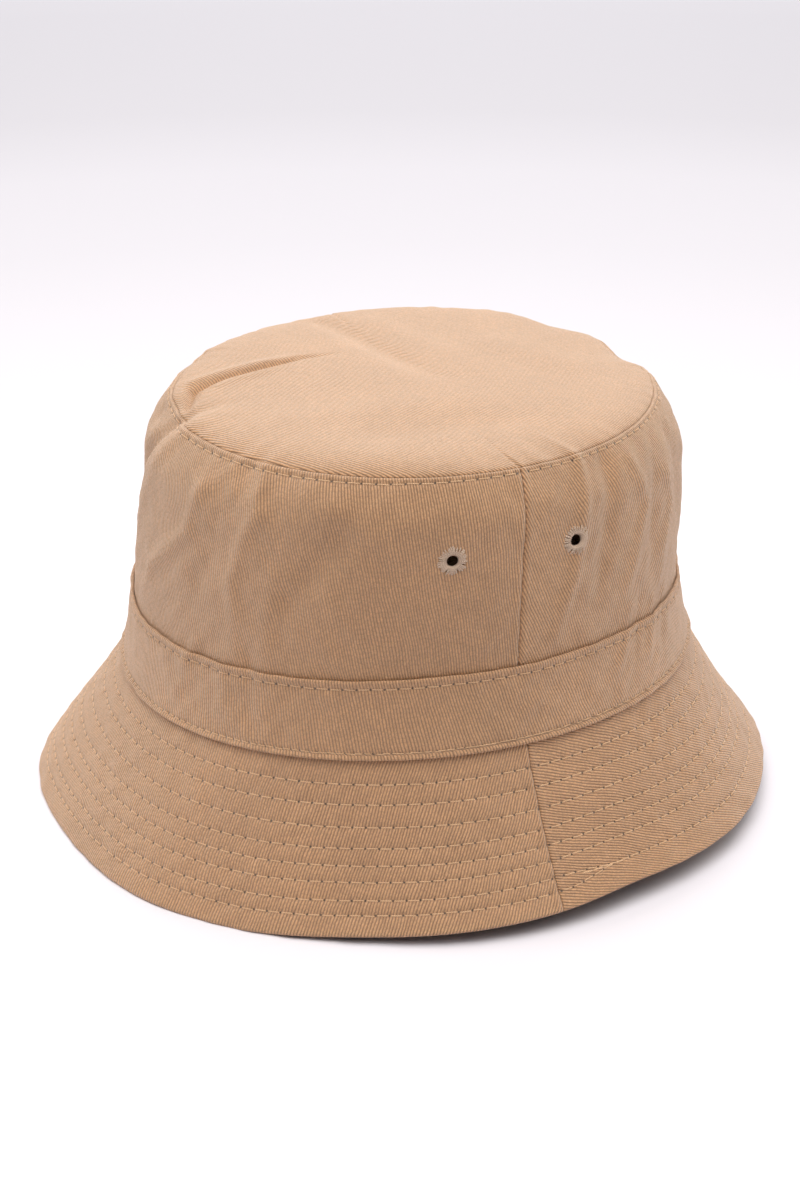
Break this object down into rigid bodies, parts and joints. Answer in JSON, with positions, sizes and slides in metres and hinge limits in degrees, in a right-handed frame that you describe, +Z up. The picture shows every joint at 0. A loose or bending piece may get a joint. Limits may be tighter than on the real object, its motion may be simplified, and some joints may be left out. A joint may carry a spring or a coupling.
{
  "type": "bucket hat",
  "caption": "Bucket hat in cotton twill with a flat oval crown top, a plain band, embroidered eyelets and a wide downturned brim in stitched rows.",
  "frame": {"origin": "on the surface the hat stands on, under the middle of the hat", "axes": "+X towards the front of the hat, the long way of the head; +Y to the wearer's left; +Z up"},
  "size_m": [0.256, 0.2464, 0.1411],
  "materials": {
    "twill_crown": "matt cotton twill, rose beige",
    "twill_brim": "matt cotton twill, rose beige, stitched in rows",
    "interlining": "stiff non-woven",
    "sweatband": "ribbed cotton ribbon",
    "tape": "bias tape",
    "thread": "spun polyester thread, slight sheen",
    "eyelet_thread": "embroidery thread, slight sheen",
    "label": "satin ribbon, blank"
  },
  "bodies": {
    "hat": {"crown_tip": "twill_crown", "crown_side_front": "twill_crown", "crown_side_rear": "twill_crown", "crown_band": "twill_crown", "brim_top_front": "twill_brim", "brim_top_rear": "twill_brim", "brim_interlining": "interlining", "brim_under_front": "twill_brim", "brim_under_rear": "twill_brim", "sweatband": "sweatband", "tip_seam_tape": "tape", "side_seam_tape_left": "tape", "side_seam_tape_right": "tape", "eyelet_left_front": "eyelet_thread", "eyelet_left_rear": "eyelet_thread", "eyelet_right_front": "eyelet_thread", "eyelet_right_rear": "eyelet_thread", "tip_edge_stitching": "thread", "band_top_stitching": "thread", "band_bottom_stitching": "thread", "brim_stitching_1": "thread", "brim_stitching_2": "thread", "brim_stitching_3": "thread", "brim_stitching_4": "thread", "brim_stitching_5": "thread", "brim_stitching_6": "thread", "brim_stitching_7": "thread", "brim_stitching_8": "thread"},
    "label": {"care_label": "label"}
  },
  "joints": [
    {"name": "label_hinge", "type": "hinge", "parent": "hat", "child": "label", "pos_m": [-0.08915, 0, 0.08], "axis": [0, -1, 0], "range_deg": [0, 150]}
  ]
}
